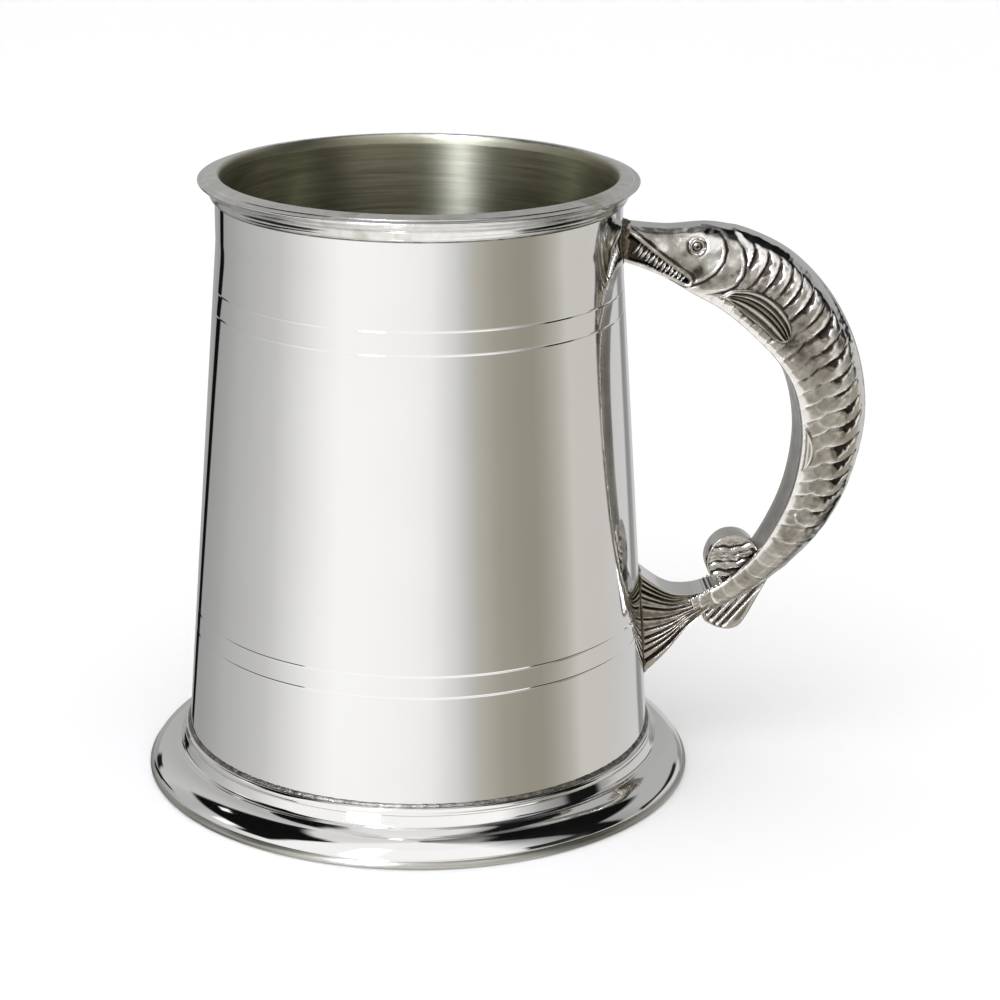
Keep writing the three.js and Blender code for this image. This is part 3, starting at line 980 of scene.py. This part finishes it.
def inner_fin():
    """The round fin inside the loop, with wavy ribs nearly level across both faces."""
    outline = [
        [67.6, 41.2], [66.6, 44.6], [63.9, 46.6], [60.6, 46.5], [58.1, 44.4], [57.1, 41.2], [58, 38.2],
        [60.6, 36.6], [64.4, 37],
    ]

    def ribs(x, z):
        level = z - 0.12 * (x - 62) - 0.20 * np.sin((x - 57.6) * 0.95) - 0.10 * np.sin((x - 57) * 2.3 + z)
        depth = np.zeros_like(x)
        for start, cut in ((37.8, 0.26), (39.4, 0.42), (41.3, 0.32), (42.8, 0.2), (44.4, 0.32)):
            depth -= cut * bell(level - start, 0.40)
        return depth - 0.12 - 0.10 * bell(level - 42.0, 0.5) + 0.05 * ripples(x, 0, z, 1.2, 8)

    return fin_plate(outline, FIN_THICKNESS / 2, ribs, border=0.5)


def outer_fin():
    """The fin below the root of the tail, with ribs that run back and down to its edge."""
    outline = [
        [70, 39.5], [69.3, 37.2], [67.8, 34.3], [66.5, 31.7], [65.2, 29.3], [63.9, 27.6], [62.2, 26.9],
        [60.4, 27.05], [58.5, 27.8], [56.8, 29.4], [58, 33], [64, 38],
    ]

    def ribs(x, z):
        across = (x - 62) * 0.76 - (z - 31) * 0.65
        depth = np.zeros_like(x)
        for start in (-4.6, -3.1, -1.6, -0.2, 1.1):
            depth -= 0.6 * bell(across - start, 0.32)
        return depth - 0.1

    return fin_plate(outline, FIN_THICKNESS / 2, ribs, border=0.6)


def flank_finder(points, faces):
    """Gives the half-thickness of the plain fish over a place in the XZ plane."""
    tree = BVHTree.FromPolygons(points.tolist(), faces)

    def height(x, z):
        hit = tree.ray_cast(Vector((x, 30, z)), Vector((0, -1, 0)))[0]
        return hit.y if hit else 0.0

    return np.vectorize(height, otypes=[float])


def leaf_fin(flank, upper, lower, ribs, lift, side, rows=44, columns=36):
    """A fin folded flat against a flank: ribs run from its root to its tip inside a raised border."""
    x, z, up, span = sheet(smooth_curve(lower, rows), smooth_curve(upper, rows), columns)
    base = flank(x, z)
    rim = np.minimum(up, 1 - up) * span
    crest = lift * (0.35 + 0.65 * smoothstep(0.0, 0.45, rim))
    uneven = up + 0.035 * np.sin(2 * math.pi * up * 1.5 + 1)
    waves = -0.27 * lift * (1 + np.cos(2 * math.pi * ribs * uneven)) * smoothstep(1.0, 3.0, span)
    waves = waves * smoothstep(0.25, 0.7, rim)
    top = np.stack([x, (base + crest + waves) * side, z], axis=2)
    under = np.stack([x, (base - 0.9) * side, z], axis=2)
    return slab(top, under)


PECTORAL_UPPER = [
    [57.4, 96.2], [58.6, 97.0], [60.1, 97.5], [63.1, 97.5], [66, 96.6], [68.6, 94.7], [70.6, 92.1],
    [71.4, 89.8], [71.2, 88.4], [70.6, 87.6],
]
PECTORAL_LOWER = [
    [57.4, 95.9], [58.8, 95.3], [60.6, 94.0], [62.9, 92.1], [65.6, 89.9], [67.8, 88], [69, 87.3],
    [70.3, 87.3],
]
PELVIC_OUTER = [[75.0, 69.9], [76.1, 68.4], [76.9, 66], [76.8, 63.7], [76.0, 61.9], [74.7, 60.9]]
PELVIC_INNER = [[74.85, 69.7], [75.0, 68.3], [75.1, 66], [74.95, 63.7], [74.7, 61.9], [74.5, 61.1]]


def teeth(flank, side):
    """The row of small crooked teeth, set in the groove of the mouth."""
    made = []
    row = TEETH_END - TEETH_START
    lean = math.atan2(row[1], row[0]) + math.pi / 2
    for index in range(TEETH):
        share = index / (TEETH - 1)
        spot = TEETH_START * (1 - share) + TEETH_END * share
        length = 1.35 - 0.65 * share
        tilt = lean + (0.13 if index % 2 else -0.10)
        depth = float(flank(*spot)) - 0.5
        made.append(pebble((spot[0], side * depth, spot[1]), (length, 0.75, 0.36), tilt, 8, 10))
    return made


def eye(side, surface):
    """The staring eye: a raised ring, a ball and a small raised pupil."""
    x, z = EYE
    return [
        round_ring((x, side * (surface + 0.02), z), EYE_RADIUS - 0.28, 0.30),
        pebble((x, side * (surface - 0.3), z), (0.95, 0.5, 0.95), 0, 12, 24),
        round_ring((x, side * (surface + 0.13), z), 0.40, 0.12, 28, 8),
    ]


def cone_cutter():
    """The barrel's outside, slightly enlarged, to end the handle just clear of the metal."""
    clearance = 0.12
    top = BARREL_TOP + 7.4
    profile = [
        [0, 0], [barrel_radius(0) + clearance, 0], [barrel_radius(TAPER_TOP) + clearance, TAPER_TOP],
        [NECK_RADIUS + clearance, top], [0, top],
    ]
    return lathe("barrel_cutter", profile, [], segments=240)


def combine(main, others, operation):
    """Joins the others to the main object, or cuts them from it, and removes them."""
    for other in others:
        step = main.modifiers.new(operation, "BOOLEAN")
        step.operation = operation
        step.solver = "MANIFOLD"
        step.object = other
    graph = bpy.context.evaluated_depsgraph_get()
    joined = bpy.data.meshes.new_from_object(main.evaluated_get(graph))
    main.modifiers.clear()
    old = main.data
    main.data = joined
    bpy.data.meshes.remove(old)
    for other in others:
        data = other.data
        bpy.data.objects.remove(other)
        bpy.data.meshes.remove(data)


def read(elements, key, width, kind=float):
    """One property of all the elements of a mesh, a row for each."""
    values = np.empty(len(elements) * width, kind)
    elements.foreach_get(key, values)
    return values.reshape(-1, width)


# After so many rounds of smoothing, how far a point has risen counts for so much of its hollowness.
HOLLOW_WEIGHTS = {6: 2.2, 16: 1.3, 40: 0.6}


def paint_wear_and_shade(mesh, sources, levels):
    """Stores how hollow, how polished and how tarnished each point of the casting is, with its painted
    shade and painted glints.

    levels holds the polish, tarnish, soot and blackness of each source. Soot darkens only hollows.
    """
    count = len(mesh.vertices)
    spots = read(mesh.vertices, "co", 3)
    normals = read(mesh.vertices, "normal", 3)
    a, b = read(mesh.edges, "vertices", 2, np.int32).T
    degree = np.bincount(a, minlength=count) + np.bincount(b, minlength=count)
    hollow = np.zeros(count)
    moved = spots.copy()
    for turn in range(1, max(HOLLOW_WEIGHTS) + 1):
        total = np.stack([
            np.bincount(a, moved[b, k], count) + np.bincount(b, moved[a, k], count) for k in range(3)
        ], axis=1)
        moved = total / np.maximum(degree, 1)[:, None]
        if turn in HOLLOW_WEIGHTS:
            hollow += ((moved - spots) * normals).sum(axis=1) * HOLLOW_WEIGHTS[turn]
    tree = KDTree(len(sources))
    for index, spot in enumerate(sources):
        tree.insert(spot, index)
    tree.balance()
    polish_and_glints, tarnish_and_shade, soot, black = np.array([levels[tree.find(spot)[1]] for spot in spots]).T
    # Blackness adds the black mouth, the blackened hollows and painted shade to the patina of the hollows.
    cavity_and_shade = 0.5 + hollow * soot + black
    for name, values in (("cavity_and_shade", cavity_and_shade), ("polish_and_glints", polish_and_glints), ("tarnish_and_shade", tarnish_and_shade)):
        layer = mesh.attributes.new(name, "FLOAT", "POINT")
        layer.data.foreach_set("value", np.clip(values, 0, 1).astype(np.float32))


def make_pike(metal):
    skin = FishSkin()
    surface = float(skin.flank(*EYE))
    parts = [(*skin.mesh(), skin.finish())]

    def add(shape, polish_and_glints, tarnish_and_shade, soot=0.8, black=0.0):
        count = len(shape[0])
        finish = [np.broadcast_to(level, count) for level in (polish_and_glints, tarnish_and_shade, soot, black)]
        parts.append((*shape, np.stack(finish, axis=1)))

    fan = tail_fan()
    top_edge = np.zeros(len(fan[0]))
    top_edge.reshape(2, -1, TAIL_COLUMNS)[:, :, -1] = 1
    add(fan, top_edge, 0.9 * (1 - top_edge), black=0.05 * (1 - top_edge))
    for shape, tarnish_and_shade in ((inner_fin(), 0.7), (outer_fin(), 0.8)):
        edge = np.abs(shape[0][:, 1]) < FIN_THICKNESS / 2 - 0.25
        add(shape, np.where(edge, 1.0, 0.0), tarnish_and_shade, black=0.06)
    for side in (-1, 1):
        add(leaf_fin(skin.flank, PECTORAL_UPPER, PECTORAL_LOWER, 5, 0.75, side), 0.0, 0.6)
        add(leaf_fin(skin.flank, PELVIC_OUTER, PELVIC_INNER, 2, 0.7, side, 30, 14), 0.1, 0.2)
        for shape in teeth(skin.flank, side):
            add(shape, 0.6, 0.1, 0.5)
        for shape, black in zip(eye(side, surface), (0.06, 0.3, 0.16)):
            add(shape, 0.2, 0.8, black=black)
        for share in np.linspace(0, 1, KNOBS):
            knob = (53.8 + 6.0 * share, side * 3.5, 33.45 + 3.4 * share - 0.5 * share * (1 - share))
            add(pebble(knob, (0.28, 0.32, 0.34), 0.45, 6, 10), 0.6, 0.1, 0.4)
    solids = [make_object("pike_part", points, faces, []) for points, faces, _ in parts]
    main = solids[0]
    main.name = "pike_casting"
    combine(main, solids[1:], "UNION")
    combine(main, [cone_cutter()], "DIFFERENCE")
    mesh = main.data
    mesh.name = "pike_casting"
    mesh.materials.clear()
    mesh.materials.append(metal)
    mesh.shade_smooth()
    mesh.set_sharp_from_angle(angle=CAST_CREASE)
    paint_wear_and_shade(mesh, np.vstack([part[0] for part in parts]), np.vstack([part[2] for part in parts]))
    return place(main, "antiqued_pewter", "pike_handle")


# ---- solder at the handle's two ends


def contact_fillet(name, outline, node, metal, on_wall, on_handle, seed):
    """A hollow-faced bead of solder round an attachment.

    The outline is the attachment's section where it meets the barrel, as [sideways, height] points.
    """
    count = 150
    loop = smooth_loop(outline, count)
    ahead = np.roll(loop, -1, 0) - np.roll(loop, 1, 0)
    outward = np.stack([ahead[:, 1], -ahead[:, 0]], axis=1)
    outward /= np.linalg.norm(outward, axis=1)[:, None]
    if ((loop - loop.mean(axis=0)) * outward).sum() < 0:
        outward = -outward
    spin = np.linspace(0, 2 * math.pi, count, endpoint=False)[:, None]
    bend = np.linspace(0, math.pi / 2, 7)[None, :]
    ripple = 1 + beads(spin, seed, 0.5, (5, 9, 16, 27)) * np.ones_like(bend)
    away = on_wall * (1 - np.sin(bend)) * ripple
    rise = on_handle * (1 - np.cos(bend)) * ripple
    away = np.hstack([away, np.full((count, 2), -0.5)])
    rise = np.hstack([rise, np.tile([on_handle, 0.0], (count, 1))])
    sideways = loop[:, None, 0] + outward[:, None, 0] * away
    height = loop[:, None, 1] + outward[:, None, 1] * away
    wall = np.vectorize(barrel_radius)(height)
    out = np.sqrt(wall**2 - sideways**2) + rise + 0.01
    points = np.stack([out, sideways, height], axis=2)
    faces = band_faces(*points.shape[:2], closed=True)
    return place(make_object(name, points.reshape(-1, 3), faces, [metal]), "solder", node)


SNOUT_SECTION = [
    [0, 110.1], [2.2, 109.7], [3.9, 108.4], [4.6, 106.4], [4.5, 104.4], [3.8, 103.1], [0, 102.9],
    [-3.8, 103.1], [-4.5, 104.4], [-4.6, 106.4], [-3.9, 108.4], [-2.2, 109.7],
]
TAIL_SECTION = [
    [0, 39.4], [2.6, 39.4], [3.6, 38.8], [3.7, 35], [3.7, 28], [3.7, 22], [3.5, 18.7], [2.4, 18.1],
    [0, 18], [-2.4, 18.1], [-3.5, 18.7], [-3.7, 22], [-3.7, 28], [-3.7, 35], [-3.6, 38.8], [-2.6, 39.4],
]


def make_handle_solder(metal):
    contact_fillet("snout_solder_fillet", SNOUT_SECTION, "snout_solder", metal, 0.75, 1.1, 1.0)
    contact_fillet("tail_solder_fillet", TAIL_SECTION, "tail_solder", metal, 0.45, 0.45, 2.0)


# ---- studio


METAL = 0.82  # how much light the polished metal returns


def linear(level):
    """An sRGB level of 0 to 255, or brighter, as light."""
    level = level / 255
    return level / 12.92 if level <= 0.04045 else ((level + 0.055) / 1.055) ** 2.4


def studio_colour(level):
    """The light in which a perfect mirror of this metal shows an sRGB level, or three of them."""
    levels = level if isinstance(level, tuple) else (level,) * 3
    return tuple(linear(one) / METAL for one in levels)


class Studio(Nodes):
    """The world's node tree."""

    def ramp(self, share, stops):
        """A ramp round the horizon through stops of (degrees right of the camera, level)."""
        made = self.node("ShaderNodeValToRGB")
        elements = made.color_ramp.elements
        while len(elements) > 1:
            elements.remove(elements[-1])
        for index, (degrees, level) in enumerate(stops):
            position = (degrees + 180) / 360
            spot = elements[0] if index == 0 else elements.new(position)
            spot.position = position
            spot.color = (*studio_colour(level), 1)
        self.link(share, made.inputs[0])
        return made.outputs[0]

    def rise(self, value, low, high):
        return self.range(value, low, high, 0, 1, smooth=True)

    def between(self, value, low, high, soft):
        up = self.rise(value, low - soft / 2, low + soft / 2)
        down = self.rise(value, high - soft / 2, high + soft / 2)
        return self.math("SUBTRACT", up, down)


def make_world():
    """White to the camera and to matt surfaces, and a painted studio in the metal's reflections."""
    world = bpy.data.worlds.new("studio")
    bpy.context.scene.world = world
    world.use_nodes = True
    world.node_tree.nodes.clear()
    studio = Studio(world.node_tree)
    x, y, z = studio.split(studio.node("ShaderNodeTexCoord").outputs["Generated"])
    turn = studio.math("ARCTAN2", x, studio.times(y, -1))
    share = studio.plus(studio.math("DIVIDE", turn, 2 * math.pi), 0.5 + HANDLE_TURN / (2 * math.pi))
    share = studio.math("WRAP", share, 1, 0)
    azimuth = studio.math("SUBTRACT", studio.times(share, 360), 180)
    elevation = studio.times(studio.math("ARCSINE", z), 180 / math.pi)

    seen = studio.ramp(share, DEEP_LIGHT)
    for stops, (low, high) in BANDS:
        seen = studio.blend(studio.rise(elevation, low, high), seen, studio.ramp(share, stops))
    for (left, right), (low, high), soft, level, slant in PANELS:
        along_it = azimuth
        if slant:
            along_it = studio.plus(azimuth, studio.times(elevation, slant))
        across = studio.between(along_it, left, right, soft)
        inside = studio.times(across, studio.between(elevation, low, high, soft))
        seen = studio.blend(inside, seen, studio_colour(level))
    rays = studio.node("ShaderNodeLightPath").outputs
    seen = studio.blend(rays["Is Glossy Ray"], (1.0, 1.0, 1.0), seen)
    seen = studio.blend(rays["Is Camera Ray"], seen, (1.0, 1.0, 1.0))
    background = studio.node("ShaderNodeBackground")
    studio.link(seen, background.inputs[0])
    studio.link(background.outputs[0], studio.node("ShaderNodeOutputWorld").inputs[0])


# Light by (degrees right of the camera, sRGB level that the metal shows there).
DEEP_LIGHT = [
    (-180, 150), (-150, 140), (-120, 170), (-90, 225), (-40, 250), (60, 250), (90, 190), (130, 160),
    (180, 150),
]
TABLE_LIGHT = [
    (-180, 165), (-152, 147), (-142, 150), (-126, 160), (-114, 172), (-102, 179), (-83, 192), (-69, 213),
    (-53, 234), (-42, 243), (-28, 243), (-10, 240), (-4, 238), (5, 234), (19, 206), (24, 190),
    (30, (175, 172, 163)), (42, (155, 151, 140)), (55, (146, 142, 131)), (63, (145, 141, 130)),
    (70, (155, 151, 140)), (80, (174, 171, 163)), (88, (195, 193, 188)), (105, (194, 191, 187)),
    (135, 196), (144, 196), (147, 128), (156, 146), (160, 190), (180, 180),
]
WALL_LIGHT = [
    (-180, 160), (-150, 172), (-131, 190), (-124, 178), (-110, 172), (-95, 195), (-84, 200), (-62, 240),
    (38, 246), (58, 165), (72, 125), (90, 145), (112, 170), (150, 168), (180, 155),
]
CEILING_LIGHT = [
    (-180, 200), (-140, 215), (-110, 210), (-75, 215), (-55, 240), (45, 240), (70, 150), (120, 110),
    (160, 90), (180, 160),
]
# Each band of light takes over from the last between two elevations.
BANDS = [(TABLE_LIGHT, (-32, -24)), (WALL_LIGHT, (-1, 2)), (CEILING_LIGHT, (60, 66))]
# Flags and lamps: azimuths, elevations, softness of the edge in degrees, sRGB level, and how many
# degrees the azimuths fall for each degree of elevation.
PANELS = [
    ((-129, -80), (31, 66), 4, 12, 0),
    ((-84, -65), (20, 67), 5, 14, 0),
    ((84, 128), (35, 75), 5, 14, 0),
    ((72, 92), (-1, 75), 5, 18, 0),
    ((-123, -117), (42, 45.5), 1.5, 255, 0),
    ((-98, -88), (19, 31), 3, 255, 0),
    ((-148, -140), (-4, 9), 3, 22, 0),
    ((-132, -124.5), (-34, 4), 1.5, 12, -1.43),
    ((46, 76), (13, 28), 4, 40, 0),
    ((104, 142), (2, 10), 3, 30, 0),
    ((62, 125), (-46, -28), 3, 16, 0),
    ((-125, -64), (-46, -28), 3, 24, 0),
    ((-31, -20), (12, 62), 5, (900, 920, 1010), 0),
]


FLOOR_HALF = 3.0
KEY_PLACE = Vector((AXIS_X - 0.25, -0.5, 1.1))
KEY_AIM = Vector((AXIS_X, 0, 0.03))


def make_stage():
    """A pale floor and one soft lamp for its shadow, both unseen by the metal's reflections."""
    mesh = bpy.data.meshes.new("floor_sweep")
    corners = [(-1, -1), (1, -1), (1, 1), (-1, 1)]
    mesh.from_pydata([(x * FLOOR_HALF, y * FLOOR_HALF, 0) for x, y in corners], [], [(0, 1, 2, 3)])
    look = bpy.data.materials.new("pale_floor")
    look.use_nodes = True
    shader = look.node_tree.nodes["Principled BSDF"]
    shader.inputs["Base Color"].default_value = (0.97, 0.97, 0.97, 1)
    shader.inputs["Roughness"].default_value = 0.9
    mesh.materials.append(look)
    floor = bpy.data.objects.new("floor_sweep", mesh)
    lamp = bpy.data.lights.new("soft_key", "AREA")
    lamp.shape = "DISK"
    lamp.size = 0.9
    lamp.energy = 2.2
    key = bpy.data.objects.new("soft_key", lamp)
    key.location = KEY_PLACE
    key.rotation_mode = "QUATERNION"
    key.rotation_quaternion = (KEY_AIM - KEY_PLACE).to_track_quat("-Z", "Y")
    for piece in (floor, key):
        piece.visible_glossy = False
        bpy.context.scene.collection.objects.link(piece)
    view = bpy.context.scene.view_settings
    view.view_transform = "Standard"
    view.look = "None"


make_camera()
polished = polished_pewter()
# The cup's inside and floor plate are brushed pewter darkened to olive: painted shade of the deep interior.
satin = satin_pewter("satin_pewter", (0.26, 0.25, 0.165), (0.47, 0.46, 0.34))
foot_edge = satin_pewter("edge_pewter", (0.40, 0.39, 0.345), (0.60, 0.59, 0.54))
solder = solder_metal(
    "solder", 2600, 420, 0.00012, (0.07, 0.06, 0.045), (0.36, 0.335, 0.29), (0.56, 0.68), (0.74, 0.72, 0.68),
    (0.5, 0.24),
)
burnt = solder_metal(
    "burnt_solder", 1500, 260, 0.0001, (0.060, 0.047, 0.034), (0.24, 0.20, 0.15), (0.60, 0.70),
    (0.62, 0.58, 0.50), (0.45, 0.25),
)
make_barrel(polished, satin)
make_rim(worn_pewter())
make_foot(polished, foot_edge)
make_foot_solder(solder)
make_rim_solder(solder)
make_floor(satin)
make_floor_solder(solder)
make_pike(antiqued_pewter())
make_handle_solder(burnt)
make_world()
make_stage()
